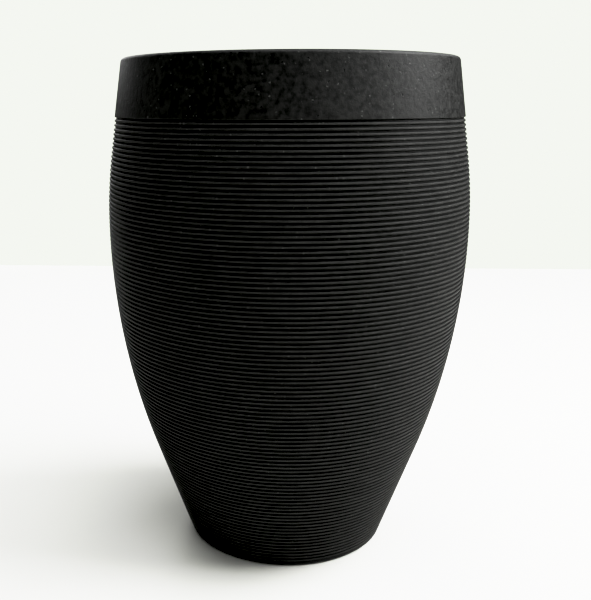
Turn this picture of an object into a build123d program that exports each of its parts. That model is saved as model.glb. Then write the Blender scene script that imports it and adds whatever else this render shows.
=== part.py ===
from build123d import *

import math
import os

# A round ribbed planter, in millimetres.
# +Z is up, Z is the axis of revolution, and Z = 0 is the surface that the planter stands on.
# The outer shell is barrel-shaped and ribbed, and a smooth rim band clips over its neck.
# A plain inner pot hangs inside on its flange, and a plug closes the drain hole underneath.

# Outer form, measured over the rib crests.
# Above and below the belly the side is an arc that runs out into a cone.
total_height = 400.0
belly_height = 272.0
belly_radius = 146.85
lower_arc_radius = 560.0
lower_cone_angle = math.radians(19.66)
upper_arc_radius = 386.6
upper_cone_angle = math.radians(7.83)

# Ribs: full round rings with a narrow crest, and a V groove between each two.
rib_count = 101
rib_pitch = 3.472
rib_depth = 1.0
rib_crest = 1.4
rib_top = 354.61
rib_start = rib_top - rib_count * rib_pitch

# Shell walls and floor.
shell_wall = 3.4
pad_stand = 1.0
foot_ring_inner_radius = 78.5
foot_round = 1.2
foot_bevel = 0.7
floor_underside = 12.0
floor_top = 15.4
floor_rib_count = 8
floor_rib_width = 2.4
floor_rib_underside = 5.0
floor_rib_overlap = 0.5

# Shoulder over the last rib, just clear of the rim band, and neck of the shell, inside the band.
shoulder_inset = 1.2
shoulder_top = 355.2
neck_blend_height = 345.0
neck_inset = 2.75
neck_wall = 2.8
neck_top = 394.0

# Rim band, a smooth ring with a rounded lip and an inner skirt that carries a ledge.
band_bottom = 355.4
band_proud = 0.3
band_wall = 2.6
band_edge_round = 0.5
lip_width = 8.0
lip_round = 3.0
inner_skirt_wall = 2.4
ledge_top = 380.0
ledge_thickness = 3.0
ledge_width = 7.0

# Inner pot, which hangs on the ledge by its flange.
pot_wall = 2.4
pot_floor_height = 30.0
pot_base_radius = 72.0
pot_top_radius = 116.3
pot_flange_radius = 123.6
pot_flange_thickness = 3.0
pot_corner_round = 8.0
pot_foot_inner_radius = 58.0
pot_foot_outer_radius = 61.0
pot_foot_depth = 4.0
pot_hole_radius = 4.0
pot_hole_count = 8
pot_hole_circle_radius = 46.0

# Drain plug and its seal, in the middle of the floor.
drain_radius = 11.0
drain_boss_radius = 19.0
drain_boss_underside = 9.0
plug_clearance = 0.3
plug_top = 17.0
plug_bore_radius = 8.0
plug_bore_floor = 10.0
plug_head_radius = 17.0
plug_head_underside = 5.0
plug_head_thickness = 2.5
plug_grip_length = 24.0
plug_grip_width = 4.0
plug_grip_underside = 1.6
plug_neck_chamfer = 1.0
plug_grip_round = 0.8
seal_radius = 16.0

# Rubber foot pads, set into pockets in bosses under the floor.
pad_count = 4
pad_circle_radius = 67.0
pad_radius = 9.0
pad_thickness = 3.0
pad_boss_radius = 12.0
pad_clearance = 0.15
pad_chamfer = 0.4


def wall_radius(z):
    """Outer radius at height z, over the rib crests."""
    if z < belly_height:
        arc_radius, cone_angle = lower_arc_radius, lower_cone_angle
    else:
        arc_radius, cone_angle = upper_arc_radius, upper_cone_angle
    away = abs(z - belly_height)
    arc_reach = arc_radius * math.sin(cone_angle)
    if away < arc_reach:
        return belly_radius - arc_radius + math.sqrt(arc_radius**2 - away**2)
    arc_drop = arc_radius * (1 - math.cos(cone_angle))
    return belly_radius - arc_drop - (away - arc_reach) * math.tan(cone_angle)


def side_point(z, inset=0.0):
    """Point of the half section at height z, moved in from the outer form."""
    return (wall_radius(z) - inset, z)


def add_side_arc(z_from, z_to, inset):
    """Add one of the side's two arcs, moved in from the outer form."""
    z_middle = (z_from + z_to) / 2
    ThreePointArc(side_point(z_from, inset), side_point(z_middle, inset), side_point(z_to, inset))


os.makedirs("parts", exist_ok=True)

lower_arc_end = belly_height - lower_arc_radius * math.sin(lower_cone_angle)
upper_arc_end = belly_height + upper_arc_radius * math.sin(upper_cone_angle)
foot_radius = wall_radius(pad_stand + foot_round)
neck_inner_inset = neck_inset + neck_wall
drain_edge = (drain_radius, floor_top)

# Outer shell: ribbed side, neck, raised floor with a drain boss, and a foot ring.
with BuildPart() as outer_shell:
    with BuildSketch(Plane.XZ):
        with BuildLine():
            for index in range(rib_count):
                z_low = rib_start + index * rib_pitch
                z_crest = z_low + rib_pitch / 2
                Polyline(
                    side_point(z_low, rib_depth),
                    side_point(z_crest - rib_crest / 2),
                    side_point(z_crest + rib_crest / 2),
                    side_point(z_low + rib_pitch, rib_depth),
                )
            Polyline(
                side_point(rib_top, rib_depth),
                side_point(shoulder_top, shoulder_inset),
                side_point(shoulder_top, neck_inset),
                side_point(neck_top, neck_inset),
                side_point(neck_top, neck_inner_inset),
                side_point(rib_top, neck_inner_inset),
                side_point(neck_blend_height, shell_wall),
                side_point(upper_arc_end, shell_wall),
            )
            add_side_arc(upper_arc_end, belly_height, shell_wall)
            add_side_arc(belly_height, lower_arc_end, shell_wall)
            Polyline(
                side_point(lower_arc_end, shell_wall),
                side_point(floor_top, shell_wall),
                drain_edge,
                (drain_radius, drain_boss_underside),
                (drain_boss_radius, drain_boss_underside),
                (drain_boss_radius, floor_underside),
                (foot_ring_inner_radius, floor_underside),
                (foot_ring_inner_radius, pad_stand),
                (foot_radius - foot_round, pad_stand),
            )
            foot_edge = (foot_radius, pad_stand + foot_round)
            RadiusArc((foot_radius - foot_round, pad_stand), foot_edge, -foot_round)
            Polyline(foot_edge, side_point(rib_start - foot_bevel), side_point(rib_start, rib_depth))
        make_face()
    revolve(axis=Axis.Z)
    with BuildSketch(Plane.XY.offset(floor_underside)):
        with PolarLocations(pad_circle_radius, pad_count):
            Circle(pad_boss_radius)
    extrude(amount=pad_stand - floor_underside)
    with BuildSketch(Plane.XY.offset(pad_stand)):
        with PolarLocations(pad_circle_radius, pad_count):
            Circle(pad_radius + pad_clearance)
    extrude(amount=pad_thickness - pad_stand, mode=Mode.SUBTRACT)
    floor_rib_length = foot_ring_inner_radius - drain_boss_radius + 2 * floor_rib_overlap
    floor_rib_middle_radius = (foot_ring_inner_radius + drain_boss_radius) / 2
    with BuildSketch(Plane.XY.offset(floor_underside)):
        with PolarLocations(floor_rib_middle_radius, floor_rib_count, start_angle=180 / floor_rib_count):
            Rectangle(floor_rib_length, floor_rib_width)
    extrude(amount=floor_rib_underside - floor_underside)
outer_shell.part.label = "outer_shell"
export_step(outer_shell.part, "parts/outer_shell.step")

# Rim band: outer skirt, rounded lip, and an inner skirt with the ledge for the pot.
mouth_radius = wall_radius(total_height) - lip_width
ledge_radius = mouth_radius - ledge_width
skirt_radius = mouth_radius + inner_skirt_wall
ledge_underside = ledge_top - ledge_thickness
with BuildPart() as rim_band:
    with BuildSketch(Plane.XZ) as band_section:
        with BuildLine():
            Polyline(
                side_point(band_bottom, -band_proud),
                side_point(total_height),
                (mouth_radius, total_height),
                (mouth_radius, ledge_top),
                (ledge_radius, ledge_top),
                (ledge_radius, ledge_underside),
                (skirt_radius, ledge_underside),
                (skirt_radius, neck_top),
                side_point(neck_top, band_wall),
                side_point(band_bottom, band_wall),
                close=True,
            )
        make_face()
        lip_corners = band_section.vertices().group_by(Axis.Y)[-1]
        fillet(lip_corners, lip_round)
        lower_edge = band_section.vertices().group_by(Axis.Y)[0].sort_by(Axis.X)[-1]
        fillet(lower_edge, band_edge_round)
    revolve(axis=Axis.Z)
rim_band.part.label = "rim_band"
export_step(rim_band.part, "parts/rim_band.step")

# Inner pot: a plain tapered pot with a flange, a foot ring and drain holes.
pot_flange_top = ledge_top + pot_flange_thickness
pot_inside_floor = pot_floor_height + pot_wall
with BuildPart() as inner_pot:
    with BuildSketch(Plane.XZ) as pot_section:
        with BuildLine():
            Polyline(
                (0, pot_floor_height),
                (pot_base_radius, pot_floor_height),
                (pot_top_radius, ledge_top),
                (pot_flange_radius, ledge_top),
                (pot_flange_radius, pot_flange_top),
                (pot_top_radius - pot_wall, pot_flange_top),
                (pot_base_radius - pot_wall, pot_inside_floor),
                (0, pot_inside_floor),
                close=True,
            )
        make_face()
        inside_corner = pot_section.vertices().group_by(Axis.Y)[1].sort_by(Axis.X)[-1]
        fillet(inside_corner, pot_corner_round - pot_wall)
        outside_corner = pot_section.vertices().group_by(Axis.Y)[0].sort_by(Axis.X)[-1]
        fillet(outside_corner, pot_corner_round)
    revolve(axis=Axis.Z)
    with BuildSketch(Plane.XY.offset(pot_floor_height)):
        Circle(pot_foot_outer_radius)
        Circle(pot_foot_inner_radius, mode=Mode.SUBTRACT)
    extrude(amount=-pot_foot_depth)
    with BuildSketch(Plane.XY.offset(pot_floor_height)):
        Circle(pot_hole_radius)
        with PolarLocations(pot_hole_circle_radius, pot_hole_count):
            Circle(pot_hole_radius)
    extrude(amount=pot_wall, mode=Mode.SUBTRACT)
inner_pot.part.label = "inner_pot"
export_step(inner_pot.part, "parts/inner_pot.step")

# Drain plug: hollow neck, round head and a bar to pull it by.
plug_head_top = plug_head_underside + plug_head_thickness
plug_neck_radius = drain_radius - plug_clearance
with BuildPart() as drain_plug:
    with BuildSketch(Plane.XY.offset(plug_head_underside)):
        Circle(plug_head_radius)
    extrude(amount=plug_head_thickness)
    with BuildSketch(Plane.XY.offset(plug_head_top)):
        Circle(plug_neck_radius)
    extrude(amount=plug_top - plug_head_top)
    chamfer(drain_plug.edges().group_by(Axis.Z)[-1], plug_neck_chamfer)
    with BuildSketch(Plane.XY.offset(plug_top)):
        Circle(plug_bore_radius)
    extrude(amount=plug_bore_floor - plug_top, mode=Mode.SUBTRACT)
    with BuildSketch(Plane.XY.offset(plug_head_underside)):
        SlotOverall(plug_grip_length, plug_grip_width)
    extrude(amount=plug_grip_underside - plug_head_underside)
    fillet(drain_plug.edges().group_by(Axis.Z)[0], plug_grip_round)
drain_plug.part.label = "drain_plug"
export_step(drain_plug.part, "parts/drain_plug.step")

# Seal: a flat rubber ring between the plug's head and the drain boss.
with BuildPart() as plug_seal:
    with BuildSketch(Plane.XY.offset(plug_head_top)):
        Circle(seal_radius)
        Circle(drain_radius, mode=Mode.SUBTRACT)
    extrude(amount=drain_boss_underside - plug_head_top)
plug_seal.part.label = "plug_seal"
export_step(plug_seal.part, "parts/plug_seal.step")

# Foot pads, numbered round the axis from +X.
for index in range(pad_count):
    turn = 2 * math.pi * index / pad_count
    pad_x = pad_circle_radius * math.cos(turn)
    pad_y = pad_circle_radius * math.sin(turn)
    with BuildPart() as foot_pad:
        with BuildSketch(Plane((pad_x, pad_y, 0))):
            Circle(pad_radius)
        extrude(amount=pad_thickness)
        chamfer(foot_pad.edges().group_by(Axis.Z)[0], pad_chamfer)
    name = f"foot_pad_{index + 1}"
    foot_pad.part.label = name
    export_step(foot_pad.part, f"parts/{name}.step")
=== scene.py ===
import math
from itertools import product

import bmesh
import bpy
from mathutils import Euler, Matrix, Vector


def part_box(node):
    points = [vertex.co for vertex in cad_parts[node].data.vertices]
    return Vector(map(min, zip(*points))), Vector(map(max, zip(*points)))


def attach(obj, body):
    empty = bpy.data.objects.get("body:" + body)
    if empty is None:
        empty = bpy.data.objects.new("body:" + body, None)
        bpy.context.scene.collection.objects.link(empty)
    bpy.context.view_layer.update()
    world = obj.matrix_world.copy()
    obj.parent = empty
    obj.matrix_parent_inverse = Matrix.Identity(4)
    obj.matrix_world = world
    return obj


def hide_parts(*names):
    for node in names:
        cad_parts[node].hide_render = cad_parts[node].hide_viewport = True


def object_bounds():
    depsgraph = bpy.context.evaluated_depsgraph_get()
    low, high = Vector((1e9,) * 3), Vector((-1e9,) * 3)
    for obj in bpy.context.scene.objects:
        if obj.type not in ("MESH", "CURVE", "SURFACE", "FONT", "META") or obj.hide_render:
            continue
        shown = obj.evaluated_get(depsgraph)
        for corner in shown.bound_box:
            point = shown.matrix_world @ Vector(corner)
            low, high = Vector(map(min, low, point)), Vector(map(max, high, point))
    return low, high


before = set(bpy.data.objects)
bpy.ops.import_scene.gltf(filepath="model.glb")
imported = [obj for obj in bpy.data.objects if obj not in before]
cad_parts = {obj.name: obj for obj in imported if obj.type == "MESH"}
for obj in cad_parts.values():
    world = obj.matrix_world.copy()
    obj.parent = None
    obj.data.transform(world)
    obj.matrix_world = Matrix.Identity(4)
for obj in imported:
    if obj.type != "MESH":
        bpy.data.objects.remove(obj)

# The looks of a ribbed planter. Lengths are in metres, and Z is the axis of revolution.
cad_low, cad_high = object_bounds()
scene = bpy.context.scene

MM = 0.001

# Outer form over the rib crests: an arc each side of the belly runs out into a cone.
HEIGHT = cad_high.z
BELLY_RADIUS = (cad_high.x - cad_low.x) / 2
BELLY_HEIGHT = 272 * MM
LOWER_ARC, LOWER_CONE = 560 * MM, math.radians(19.66)
UPPER_ARC, UPPER_CONE = 386.6 * MM, math.radians(7.83)

# Ribs, with rounded crests and steep sides, and a narrow flat floor in each groove.
RIB_COUNT = 101
RIB_PITCH = 3.472 * MM
RIB_DEPTH = 1.0 * MM
RIB_CREST = 1.3 * MM
RIB_ROUNDING = 0.42 * MM
GROOVE_FLOOR = 1.2 * MM
RIB_TOP = 354.61 * MM
RIB_START = RIB_TOP - RIB_COUNT * RIB_PITCH

# Shell inside, foot and neck
SHELL_WALL = 3.4 * MM
FLOOR_TOP = 15.4 * MM
FLOOR_UNDERSIDE = 12 * MM
FOOT_INNER_RADIUS = 78.5 * MM
PAD_STAND = 1.0 * MM
DRAIN_RADIUS = 11 * MM
DRAIN_BOSS_RADIUS = 19 * MM
DRAIN_BOSS_UNDERSIDE = 9 * MM
SHOULDER_INSET = 1.2 * MM
SHOULDER_GAP = 0.2 * MM
NECK_BLEND_HEIGHT = 345 * MM
NECK_INSET = 2.75 * MM
NECK_WALL = 2.8 * MM

# Rim band
LIP_WIDTH = 8 * MM
LEDGE_TOP = 380 * MM
LEDGE_THICKNESS = 3 * MM
LEDGE_WIDTH = 7 * MM
BAND_WALL = 2.6 * MM
BAND_PROUD = 0.3 * MM
SKIRT_WALL = 2.4 * MM


# ---------------------------------------------------------------- camera

def add_camera():
    """A viewpoint just below the level of the rim, looking down and slightly to the left."""
    distance, height = 1.6996 * HEIGHT, 0.9173 * HEIGHT
    look_down, look_left, roll_by = 13.64, 2.824, -0.146
    data = bpy.data.cameras.new("camera")
    camera = bpy.data.objects.new("camera", data)
    scene.collection.objects.link(camera)
    camera.location = (0, -distance, height)
    turn = Euler((math.radians(90 - look_down), 0, math.radians(look_left))).to_matrix()
    roll = Matrix.Rotation(math.radians(roll_by), 3, "Z")
    camera.rotation_euler = (turn @ roll).to_euler()
    data.lens = 49.01
    data.shift_x = 0.0798
    data.clip_start, data.clip_end = 0.01, 50
    scene.camera = camera


# ---------------------------------------------------------------- outlines

def wall_radius(z):
    """Outer radius at height z, over the rib crests."""
    arc, cone = (LOWER_ARC, LOWER_CONE) if z < BELLY_HEIGHT else (UPPER_ARC, UPPER_CONE)
    away = abs(z - BELLY_HEIGHT)
    reach = arc * math.sin(cone)
    if away < reach:
        return BELLY_RADIUS - arc + math.sqrt(arc ** 2 - away ** 2)
    return BELLY_RADIUS - arc * (1 - math.cos(cone)) - (away - reach) * math.tan(cone)


def side(z, inset=0.0, rounding=None):
    """Point of the half section at height z, moved in from the outer form."""
    place = (wall_radius(z) - inset, z)
    return place if rounding is None else (*place, rounding)


def arc_through(a, b, c, steps):
    """Points on the circle through a, b and c, from a up to but not including c."""
    (ax, ay), (bx, by), (cx, cy) = a, b, c
    d = 2 * (ax * (by - cy) + bx * (cy - ay) + cx * (ay - by))
    a2, b2, c2 = ax * ax + ay * ay, bx * bx + by * by, cx * cx + cy * cy
    ox = (a2 * (by - cy) + b2 * (cy - ay) + c2 * (ay - by)) / d
    oy = (a2 * (cx - bx) + b2 * (ax - cx) + c2 * (bx - ax)) / d
    start = math.atan2(ay - oy, ax - ox)
    sweep = (math.atan2(cy - oy, cx - ox) - start + math.pi) % (2 * math.pi) - math.pi
    radius = math.hypot(ax - ox, ay - oy)
    turns = [start + sweep * i / steps for i in range(steps)]
    return [(ox + radius * math.cos(t), oy + radius * math.sin(t)) for t in turns]


def rounded(corners, steps=6):
    """An outline from corners (r, z, rounding), each rounded by an arc of that radius."""
    points = []
    for i, (x, y, rounding) in enumerate(corners):
        if rounding == 0:
            points.append((x, y))
            continue
        here = Vector((x, y))
        back = (Vector(corners[i - 1][:2]) - here).normalized()
        ahead = (Vector(corners[(i + 1) % len(corners)][:2]) - here).normalized()
        half = back.angle(ahead) / 2
        first, last = (here + way * rounding / math.tan(half) for way in (back, ahead))
        centre = here + (back + ahead).normalized() * rounding / math.sin(half)
        middle = centre + (here - centre).normalized() * rounding
        points += arc_through(tuple(first), tuple(middle), tuple(last), steps) + [tuple(last)]
    return points


# ---------------------------------------------------------------- meshes

def lathe(name, outline, steps=160, at=(0, 0)):
    """A closed solid: the closed outline (r, z) turned round the upright line through at."""
    turns = [2 * math.pi * i / steps for i in range(steps)]
    vertices = [
        (at[0] + r * math.cos(t), at[1] + r * math.sin(t), z)
        for r, z in outline for t in turns
    ]
    faces = []
    for i, k in product(range(len(outline)), range(steps)):
        low, high = i, (i + 1) % len(outline)
        if outline[low][0] == outline[high][0] == 0:
            continue
        ahead = (k + 1) % steps
        corners = ((low, k), (low, ahead), (high, ahead), (high, k))
        faces.append([row * steps + column for row, column in corners])
    mesh = bpy.data.meshes.new(name)
    mesh.from_pydata(vertices, [], faces)
    return link_mesh(mesh)


def link_mesh(mesh):
    """An object of the mesh, with vertices that coincide joined and faces turned outwards."""
    work = bmesh.new()
    work.from_mesh(mesh)
    bmesh.ops.remove_doubles(work, verts=work.verts, dist=0.001 * MM)
    bmesh.ops.recalc_face_normals(work, faces=work.faces)
    work.to_mesh(mesh)
    work.free()
    piece = bpy.data.objects.new(mesh.name, mesh)
    scene.collection.objects.link(piece)
    return piece


def bar(name, size, centre, turn=0.0, edge=0.5 * MM):
    """A straight bar with bevelled edges, turned about Z."""
    work = bmesh.new()
    place = Matrix.Rotation(turn, 4, "Z") @ Matrix.Translation(centre) @ Matrix.Diagonal((*size, 1))
    bmesh.ops.create_cube(work, size=1, matrix=place)
    bmesh.ops.bevel(work, geom=work.edges, offset=edge, segments=3, affect="EDGES", profile=0.5)
    mesh = bpy.data.meshes.new(name)
    work.to_mesh(mesh)
    work.free()
    return link_mesh(mesh)


def combine(piece, operation, others):
    """Add the other solids to the piece, or cut them out of it."""
    for other in others:
        modifier = piece.modifiers.new("combine", "BOOLEAN")
        modifier.operation = operation
        modifier.solver = "MANIFOLD"
        modifier.object = other
    depsgraph = bpy.context.evaluated_depsgraph_get()
    solid = bpy.data.meshes.new_from_object(piece.evaluated_get(depsgraph))
    piece.modifiers.clear()
    piece.data = solid
    for other in others:
        bpy.data.objects.remove(other)


def finish_piece(piece, body, node, material, sharp=40):
    """Smooth the piece apart from its sharp edges, and put it in the frame in its node's place.

    Normals are weighted by area, so that a small rounding doesn't shade the wide face beside it.
    """
    piece.data.shade_smooth()
    piece.data.set_sharp_from_angle(angle=math.radians(sharp))
    weighted = piece.modifiers.new("weighted normals", "WEIGHTED_NORMAL")
    weighted.keep_sharp = True
    piece.data.materials.clear()
    piece.data.materials.append(material)
    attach(piece, body)
    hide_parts(node)


# ---------------------------------------------------------------- pieces

def ribbed_shell():
    """The ribbed side with its neck, floor, drain boss, foot ring, floor ribs and pad bosses."""
    outline = []
    half_base, half_crest = (RIB_PITCH - GROOVE_FLOOR) / 2, RIB_CREST / 2
    for i in range(RIB_COUNT):
        middle = RIB_START + (i + 0.5) * RIB_PITCH
        outline += rounded([
            side(middle - half_base, RIB_DEPTH, 0),
            side(middle - half_crest, 0, RIB_ROUNDING),
            side(middle + half_crest, 0, RIB_ROUNDING),
            side(middle + half_base, RIB_DEPTH, 0),
        ], steps=1)
    neck_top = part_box("outer_shell")[1].z
    neck_inner = NECK_INSET + NECK_WALL
    shoulder_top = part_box("rim_band")[0].z - SHOULDER_GAP
    outline += [side(RIB_TOP, RIB_DEPTH), side(shoulder_top, SHOULDER_INSET)]
    outline += [side(shoulder_top, NECK_INSET), side(neck_top, NECK_INSET)]
    outline += [side(neck_top, neck_inner), side(RIB_TOP, neck_inner)]
    steps = 24
    drop = (NECK_BLEND_HEIGHT - FLOOR_TOP) / steps
    outline += [side(NECK_BLEND_HEIGHT - drop * i, SHELL_WALL) for i in range(steps)]
    foot = wall_radius(PAD_STAND)
    outline += rounded([
        side(NECK_BLEND_HEIGHT - drop * (steps - 1), SHELL_WALL, 0),
        side(FLOOR_TOP, SHELL_WALL, 2 * MM),
        (DRAIN_RADIUS, FLOOR_TOP, 0.4 * MM),
        (DRAIN_RADIUS, DRAIN_BOSS_UNDERSIDE, 0.3 * MM),
        (DRAIN_BOSS_RADIUS, DRAIN_BOSS_UNDERSIDE, 0.6 * MM),
        (DRAIN_BOSS_RADIUS, FLOOR_UNDERSIDE, 0.6 * MM),
        (FOOT_INNER_RADIUS, FLOOR_UNDERSIDE, 1.5 * MM),
        (FOOT_INNER_RADIUS, PAD_STAND, 0.5 * MM),
        (foot, PAD_STAND, 1.0 * MM),
        (*side(RIB_START), 0),
    ], steps=3)[1:-1]
    shell = lathe("ribbed_shell", outline, steps=144)

    # How far the bosses and floor ribs reach into the shell, and how the pad pockets fit.
    overlap = 1 * MM
    boss_wall, pocket_play, pocket_flare = 3 * MM, 0.15 * MM, 0.3 * MM
    extras, pockets = [], []
    for i in range(4):
        low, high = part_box(f"foot_pad_{i + 1}")
        at = (low + high) / 2
        pad_radius, pad_top = (high.x - low.x) / 2, high.z
        boss = pad_radius + boss_wall
        pocket = pad_radius + pocket_play
        extras.append(lathe("boss", rounded([
            (0, PAD_STAND, 0),
            (boss, PAD_STAND, 0.5 * MM),
            (boss, FLOOR_TOP - overlap, 0),
            (0, FLOOR_TOP - overlap, 0),
        ], steps=3), steps=48, at=at.xy))
        pockets.append(lathe("pocket", [
            (0, 0),
            (pocket + pocket_flare, 0),
            (pocket + pocket_flare, PAD_STAND),
            (pocket, PAD_STAND + pocket_flare),
            (pocket, pad_top),
            (0, pad_top),
        ], steps=48, at=at.xy))
    rib_count, rib_width = 8, 2.4 * MM
    rib_from, rib_to = DRAIN_BOSS_RADIUS - overlap, FOOT_INNER_RADIUS + overlap
    rib_low, rib_high = 5 * MM, FLOOR_TOP - overlap
    size = (rib_to - rib_from, rib_width, rib_high - rib_low)
    centre = ((rib_from + rib_to) / 2, 0, (rib_low + rib_high) / 2)
    for i in range(rib_count):
        turn = math.pi * (2 * i + 1) / rib_count
        extras.append(bar("floor_rib", size, centre, turn=turn, edge=0.4 * MM))
    combine(shell, "UNION", extras)
    combine(shell, "DIFFERENCE", pockets)
    return shell


def rim_band():
    """The smooth ring, with its rounded lip and the ledge that the pot hangs on."""
    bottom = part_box("rim_band")[0].z
    mouth = wall_radius(HEIGHT) - LIP_WIDTH
    ledge = mouth - LEDGE_WIDTH
    neck_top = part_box("outer_shell")[1].z
    return lathe("smooth_rim_band", rounded([
        side(bottom, -BAND_PROUD, 0.5 * MM),
        side(HEIGHT, 0, 3 * MM),
        (mouth, HEIGHT, 3 * MM),
        (mouth, LEDGE_TOP, 0.5 * MM),
        (ledge, LEDGE_TOP, 0.6 * MM),
        (ledge, LEDGE_TOP - LEDGE_THICKNESS, 0.6 * MM),
        (mouth + SKIRT_WALL, LEDGE_TOP - LEDGE_THICKNESS, 0.6 * MM),
        (mouth + SKIRT_WALL, neck_top, 0.3 * MM),
        side(neck_top, BAND_WALL, 0.3 * MM),
        side(bottom, BAND_WALL, 0.4 * MM),
    ], steps=6), steps=240)


def liner_pot():
    """The plain pot, with a flange, a foot ring, and a drain hole with eight more round it."""
    low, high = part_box("inner_pot")
    flange = (high.x - low.x) / 2
    floor_low, floor_high, hole = 30 * MM, 32.4 * MM, 4 * MM
    ring_inner, ring_outer = 58 * MM, 61 * MM
    base_outer, base_inner = 72 * MM, 69.6 * MM
    top_outer, top_inner = 116.3 * MM, 113.9 * MM
    pot = lathe("liner_pot", rounded([
        (hole, floor_low, 0.3 * MM),
        (ring_inner, floor_low, 0.5 * MM),
        (ring_inner, low.z, 0.8 * MM),
        (ring_outer, low.z, 0.8 * MM),
        (ring_outer, floor_low, 0.5 * MM),
        (base_outer, floor_low, 8 * MM),
        (top_outer, LEDGE_TOP, 0.8 * MM),
        (flange, LEDGE_TOP, 1.0 * MM),
        (flange, high.z, 1.3 * MM),
        (top_inner, high.z, 1.6 * MM),
        (base_inner, floor_high, 5.6 * MM),
        (hole, floor_high, 0.6 * MM),
    ], steps=6), steps=200)
    cutters = []
    hole_count, hole_circle, sink = 8, 46 * MM, 0.6 * MM
    below = floor_low - 1 * MM
    for i in range(hole_count):
        turn = 2 * math.pi * i / hole_count
        cutters.append(lathe("hole", [
            (0, below),
            (hole, below),
            (hole, floor_high - sink),
            (hole + 2 * sink, floor_high + sink),
            (0, floor_high + sink),
        ], steps=32, at=(hole_circle * math.cos(turn), hole_circle * math.sin(turn))))
    combine(pot, "DIFFERENCE", cutters)
    return pot


def pull_plug():
    """The drain plug: a round head, a hollow neck, and a bar across the head to pull it by."""
    low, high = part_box("drain_plug")
    head, head_low, head_high = (high.x - low.x) / 2, 5 * MM, 7.5 * MM
    bevel_width, bevel_height = 2.2 * MM, 0.5 * MM
    neck, bore, bore_floor = 10.7 * MM, 8 * MM, 10 * MM
    grip_length, grip_width, overlap = 24 * MM, 4 * MM, 1 * MM
    plug = lathe("pull_plug", rounded([
        (0, head_low, 0),
        (head - bevel_width, head_low, 0),
        (head, head_low + bevel_height, 0.5 * MM),
        (head, head_high, 0.4 * MM),
        (neck, head_high, 0.2 * MM),
        (neck, high.z, 1.0 * MM),
        (bore, high.z, 0.5 * MM),
        (bore, bore_floor, 1.0 * MM),
        (0, bore_floor, 0),
    ], steps=5), steps=96)
    size = (grip_length, grip_width, head_low - low.z + overlap)
    centre = (0, 0, low.z + size[2] / 2)
    combine(plug, "UNION", [bar("grip", size, centre, edge=0.9 * MM)])
    return plug


def seal_ring():
    """The flat rubber ring between the plug's head and the drain boss."""
    low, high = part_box("plug_seal")
    outer, inner = (high.x - low.x) / 2, DRAIN_RADIUS
    corners = [(inner, low.z), (outer, low.z), (outer, high.z), (inner, high.z)]
    return lathe("seal_ring", rounded([(*corner, 0.45 * MM) for corner in corners]), steps=96)


def rubber_pad(number):
    """A round foot pad, with a chamfered tread and a shallow ring groove in it."""
    low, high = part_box(f"foot_pad_{number}")
    radius = (high.x - low.x) / 2
    at = (low + high) / 2
    groove_inner, groove_outer = 4.2 * MM, 5.8 * MM
    groove_depth = groove_slope = 0.4 * MM
    chamfer = 0.5 * MM
    return lathe(f"rubber_pad_{number}", rounded([
        (0, 0, 0),
        (groove_inner, 0, 0.15 * MM),
        (groove_inner + groove_slope, groove_depth, 0.1 * MM),
        (groove_outer - groove_slope, groove_depth, 0.1 * MM),
        (groove_outer, 0, 0.15 * MM),
        (radius - chamfer, 0, 0.2 * MM),
        (radius, chamfer, 0.2 * MM),
        (radius, high.z, 0.2 * MM),
        (0, high.z, 0),
    ], steps=3), steps=64, at=at.xy)


# ---------------------------------------------------------------- materials

# Noise scales, in cells per metre
MOTTLE_SCALE = 250
PATCH_SCALE = 14
GRAIN_SCALE = 1400
STREAK_SCALE, STREAK_STRETCH = 55, 6
FLECK_SCALE, PIT_SCALE = 430, 300
BLOOM_SCALE = 160
RUBBER_GRAIN_SCALE = 2600
FLOOR_CLOUD_SCALE = 3


def scaled(colour, factor):
    """The opaque colour with red, green and blue multiplied by the factor."""
    return tuple(factor * c for c in colour[:3]) + (1.0,)


def add_node(tree, kind, inputs, **settings):
    """A new node, with each input set to a value or joined to another node's socket."""
    node = tree.nodes.new("ShaderNode" + kind)
    for name, value in settings.items():
        setattr(node, name, value)
    for name, value in inputs.items():
        if isinstance(value, bpy.types.NodeSocket):
            tree.links.new(value, node.inputs[name])
        else:
            node.inputs[name].default_value = value
    return node


def noise(tree, place, scale, detail=3.0, roughness=0.55):
    inputs = {"Vector": place, "Scale": scale, "Detail": detail, "Roughness": roughness}
    return add_node(tree, "TexNoise", inputs).outputs[0]


def remap(tree, value, from_low, from_high, to_low=0.0, to_high=1.0):
    inputs = {
        "Value": value,
        "From Min": from_low, "From Max": from_high,
        "To Min": to_low, "To Max": to_high,
    }
    return add_node(tree, "MapRange", inputs).outputs["Result"]


def maths(tree, operation, a, b):
    return add_node(tree, "Math", {0: a, 1: b}, operation=operation).outputs[0]


def blend(tree, factor, a, b):
    node = add_node(tree, "Mix", {0: factor, 6: a, 7: b}, data_type="RGBA")
    return node.outputs[2]


def flecks(tree, place, scale, radius, share):
    """1 on uneven specks in a share of scattered cells, and 0 elsewhere."""
    inputs = {"Vector": place, "Scale": scale * 2.5, "Detail": 1.0}
    shift = add_node(tree, "TexNoise", inputs).outputs["Color"]
    shift = add_node(tree, "VectorMath", {0: shift, 3: 0.7 / scale}, operation="SCALE").outputs[0]
    moved = add_node(tree, "VectorMath", {0: place, 1: shift}, operation="ADD").outputs[0]
    cells = add_node(tree, "TexVoronoi", {"Vector": moved, "Scale": scale})
    spot = remap(tree, cells.outputs["Distance"], radius, radius * 0.5)
    pick = add_node(tree, "SeparateColor", {"Color": cells.outputs["Color"]}).outputs["Red"]
    return maths(tree, "MULTIPLY", spot, maths(tree, "LESS_THAN", pick, share))


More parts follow.
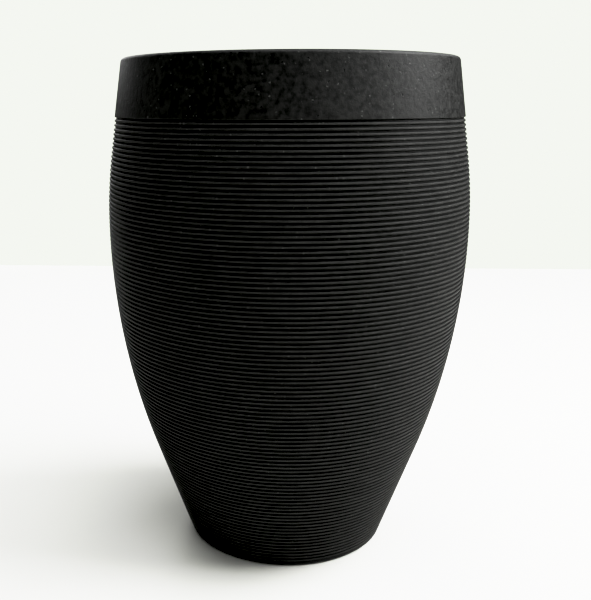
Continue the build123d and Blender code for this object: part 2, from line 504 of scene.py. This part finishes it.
def convex_edges(tree, reach):
    """1 on convex edges and narrow ridges, where the piece is thinner than the reach."""
    settings = {"samples": 4, "inside": True, "only_local": True}
    behind = add_node(tree, "AmbientOcclusion", {"Distance": reach}, **settings).outputs["AO"]
    return remap(tree, behind, 0.95, 0.45)


def groove_shade(tree, reach):
    """1 deep in grooves and corners that are narrower than the reach, where painted shade goes."""
    before = add_node(tree, "AmbientOcclusion", {"Distance": reach}, samples=4).outputs["AO"]
    return remap(tree, before, 0.92, 0.50)


def plastic(
    name, dark, light, flecked, rough, bump, wear_and_highlight_colour, edge_reach=0.6 * MM, specular=0.25, flow=0.0
):
    """Moulded, mineral-filled plastic: mottled, with flecks and pits, rubbed edges that also carry a
    painted highlight, and painted shade in the grooves.

    Flow is the share of the mottle that is drawn out into level streaks.
    """
    material = bpy.data.materials.new(name)
    material.use_nodes = True
    tree = material.node_tree
    shader = tree.nodes["Principled BSDF"]
    place = add_node(tree, "TexCoord", {}).outputs["Object"]
    mottle = noise(tree, place, MOTTLE_SCALE, detail=4)
    broad = noise(tree, place, PATCH_SCALE, detail=2)
    grain = noise(tree, place, GRAIN_SCALE, detail=2)
    stretch = {0: place, 1: (1, 1, STREAK_STRETCH)}
    drawn = add_node(tree, "VectorMath", stretch, operation="MULTIPLY").outputs[0]
    streaks = remap(tree, noise(tree, drawn, STREAK_SCALE, detail=3), 0.36, 0.64)
    spots = remap(tree, mottle, 0.36, 0.64)
    fine = add_node(tree, "Mix", {0: flow, 2: spots, 3: streaks}).outputs[0]
    patches = remap(tree, broad, 0.3, 0.7)
    tone = add_node(tree, "Mix", {0: 0.15, 2: fine, 3: patches}).outputs[0]
    colour = blend(tree, tone, dark, light)
    pale = flecks(tree, place, FLECK_SCALE, 0.3, flecked)
    pits = flecks(tree, place, PIT_SCALE, 0.26, flecked)
    colour = blend(tree, pale, colour, scaled(light, 3.2))
    colour = blend(tree, pits, colour, scaled(dark, 0.6))
    patchy = remap(tree, fine, 0.0, 1.0, 0.55, 1.0)
    # Convex edges and rib crests lighten: partly rubbed wear, partly a painted highlight where the
    # crests catch the light.
    lighter_edges = maths(tree, "MULTIPLY", convex_edges(tree, edge_reach), patchy)
    colour = blend(tree, lighter_edges, colour, wear_and_highlight_colour)
    # Grooves and corners darken towards near-black: painted shade, since the plastic itself is no
    # darker there.
    colour = blend(tree, groove_shade(tree, 2 * edge_reach), colour, scaled(dark, 0.3))
    tree.links.new(colour, shader.inputs["Base Color"])
    roughness = remap(tree, mottle, 0.3, 0.7, rough[0], rough[1])
    tree.links.new(roughness, shader.inputs["Roughness"])
    shader.inputs["Specular IOR Level"].default_value = specular
    height = maths(tree, "ADD", maths(tree, "MULTIPLY", grain, 0.35), mottle)
    height = maths(tree, "SUBTRACT", height, maths(tree, "MULTIPLY", pits, 0.4))
    relief = add_node(tree, "Bump", {"Strength": 1.0, "Distance": bump, "Height": height})
    tree.links.new(relief.outputs["Normal"], shader.inputs["Normal"])
    return material


def rubber(name, dark, light):
    """Matt rubber, with a fine grain and a dusty bloom in patches."""
    material = bpy.data.materials.new(name)
    material.use_nodes = True
    tree = material.node_tree
    shader = tree.nodes["Principled BSDF"]
    place = add_node(tree, "TexCoord", {}).outputs["Object"]
    bloom = noise(tree, place, BLOOM_SCALE, detail=5, roughness=0.65)
    grain = noise(tree, place, RUBBER_GRAIN_SCALE, detail=2)
    colour = blend(tree, remap(tree, bloom, 0.35, 0.75), dark, light)
    lighter_edges = maths(tree, "MULTIPLY", convex_edges(tree, 0.3 * MM), remap(tree, bloom, 0.35, 0.6))
    colour = blend(tree, lighter_edges, colour, scaled(light, 1.8))
    tree.links.new(colour, shader.inputs["Base Color"])
    tree.links.new(remap(tree, bloom, 0.3, 0.7, 0.7, 0.88), shader.inputs["Roughness"])
    shader.inputs["Specular IOR Level"].default_value = 0.3
    relief = add_node(tree, "Bump", {"Strength": 0.6, "Distance": 0.05 * MM, "Height": grain})
    tree.links.new(relief.outputs["Normal"], shader.inputs["Normal"])
    return material


# ---------------------------------------------------------------- stage

def add_floor():
    """A pale satin surface that ends in a straight edge some way behind the planter.

    Past the reach of the lights it glows for the camera, so that it stays pale there too.
    """
    reach, back = 6.0, 1.15
    darker, paler = (0.80, 0.805, 0.765, 1), (0.83, 0.835, 0.795, 1)
    glow_from, glow_full, glow_most = 1.2, 2.4, 0.75
    mesh = bpy.data.meshes.new("floor")
    corners = [(-reach, -reach, 0), (reach, -reach, 0), (reach, back, 0), (-reach, back, 0)]
    mesh.from_pydata(corners, [], [(0, 1, 2, 3)])
    floor = bpy.data.objects.new("floor", mesh)
    scene.collection.objects.link(floor)
    material = bpy.data.materials.new("floor_white")
    material.use_nodes = True
    tree = material.node_tree
    shader = tree.nodes["Principled BSDF"]
    place = add_node(tree, "TexCoord", {}).outputs["Object"]
    cloud = noise(tree, place, FLOOR_CLOUD_SCALE)
    tree.links.new(blend(tree, cloud, darker, paler), shader.inputs["Base Color"])
    shader.inputs["Roughness"].default_value = 0.45
    shader.inputs["Specular IOR Level"].default_value = 0.3
    away = add_node(tree, "VectorMath", {0: place}, operation="LENGTH").outputs["Value"]
    seen = add_node(tree, "LightPath", {}).outputs["Is Camera Ray"]
    far = remap(tree, away, glow_from, glow_full, 0.0, glow_most)
    glow = maths(tree, "MULTIPLY", far, seen)
    shader.inputs["Emission Color"].default_value = (1, 1, 0.97, 1)
    tree.links.new(glow, shader.inputs["Emission Strength"])
    mesh.materials.append(material)


def add_world(seen, ambient):
    """A plain pale backdrop that gives only a little light of its own."""
    world = bpy.data.worlds.new("world")
    scene.world = world
    world.use_nodes = True
    tree = world.node_tree
    background = tree.nodes["Background"]
    camera_ray = add_node(tree, "LightPath", {}).outputs["Is Camera Ray"]
    background.inputs["Color"].default_value = (0.94, 1.0, 0.87, 1)
    tree.links.new(remap(tree, camera_ray, 0, 1, ambient, seen), background.inputs["Strength"])


def add_softbox(name, azimuth, elevation, power, size=(1.2, 1.2), distance=1.8):
    """A soft light aimed at the planter. Azimuth 0 is the camera's side, and 90 is to its right."""
    data = bpy.data.lights.new(name, "AREA")
    data.shape = "RECTANGLE"
    data.size, data.size_y = size
    data.energy = power
    light = bpy.data.objects.new(name, data)
    scene.collection.objects.link(light)
    turn, rise = math.radians(azimuth), math.radians(elevation)
    flat = Vector((math.sin(turn), -math.cos(turn), 0)) * math.cos(rise)
    way = flat + Vector((0, 0, math.sin(rise)))
    light.location = Vector((0, 0, HEIGHT / 2)) + way * distance
    light.rotation_euler = (-way).to_track_quat("-Z", "Y").to_euler()
    light.visible_camera = False


def add_tone_curve(black, points):
    """The contrast of an edited product picture: deep blacks, and whites that level off."""
    settings = scene.view_settings
    settings.view_transform = "Standard"
    settings.use_curve_mapping = True
    mapping = settings.curve_mapping
    mapping.black_level = (black, black, black)
    curve = mapping.curves[3]  # the one that acts on all channels
    curve.points[-1].location = points[-1]
    for point in points[:-1]:
        curve.points.new(*point)
    mapping.update()


# ---------------------------------------------------------------- the planter

add_camera()

# The shell's edge colour is far lighter than its plastic: a painted highlight on the rib crests,
# besides some wear.
shell_plastic = plastic(
    "shell_plastic", (0.0170, 0.0175, 0.0170, 1), (0.0350, 0.0355, 0.0343, 1),
    flecked=0.07, rough=(0.42, 0.60), bump=0.20 * MM,
    wear_and_highlight_colour=(0.185, 0.185, 0.182, 1), edge_reach=1.2 * MM, specular=0.12, flow=0.6,
)
band_plastic = plastic(
    "band_plastic", (0.0142, 0.0145, 0.0142, 1), (0.0340, 0.0345, 0.0335, 1),
    flecked=0.07, rough=(0.38, 0.54), bump=0.26 * MM,
    wear_and_highlight_colour=(0.065, 0.065, 0.064, 1), specular=0.22,
)
pot_plastic = plastic(
    "pot_plastic", (0.019, 0.019, 0.0195, 1), (0.032, 0.032, 0.033, 1),
    flecked=0.04, rough=(0.48, 0.66), bump=0.06 * MM, wear_and_highlight_colour=(0.06, 0.06, 0.06, 1),
)
plug_plastic = plastic(
    "plug_plastic", (0.016, 0.016, 0.016, 1), (0.028, 0.028, 0.028, 1),
    flecked=0.04, rough=(0.40, 0.56), bump=0.04 * MM, wear_and_highlight_colour=(0.07, 0.07, 0.07, 1),
)
seal_rubber = rubber("seal_rubber", (0.016, 0.016, 0.017, 1), (0.030, 0.030, 0.031, 1))
pad_rubber = rubber("pad_rubber", (0.020, 0.020, 0.020, 1), (0.045, 0.044, 0.042, 1))

finish_piece(ribbed_shell(), "shell", "outer_shell", shell_plastic)
finish_piece(rim_band(), "shell", "rim_band", band_plastic)
finish_piece(liner_pot(), "pot", "inner_pot", pot_plastic)
finish_piece(pull_plug(), "plug", "drain_plug", plug_plastic)
finish_piece(seal_ring(), "plug", "plug_seal", seal_rubber)
for number in range(1, 5):
    finish_piece(rubber_pad(number), "shell", f"foot_pad_{number}", pad_rubber)

add_floor()
add_world(seen=0.77, ambient=0.02)
add_softbox("key", 89, 39, power=45, size=(1.2, 1.4))
add_softbox("overhead", 65, 75, power=9)
add_softbox("top", -60, 80, power=10)
add_softbox("front_fill", 38, 36, power=6.5)
add_softbox("left_fill", -95, 22, power=1.1)
add_softbox("back_left", -150, 30, power=12)
add_softbox("back_right", 138, 42, power=6)
add_tone_curve(0.0150, [(0.14, 0.135), (0.46, 0.67), (0.65, 0.87), (1.0, 0.955)])
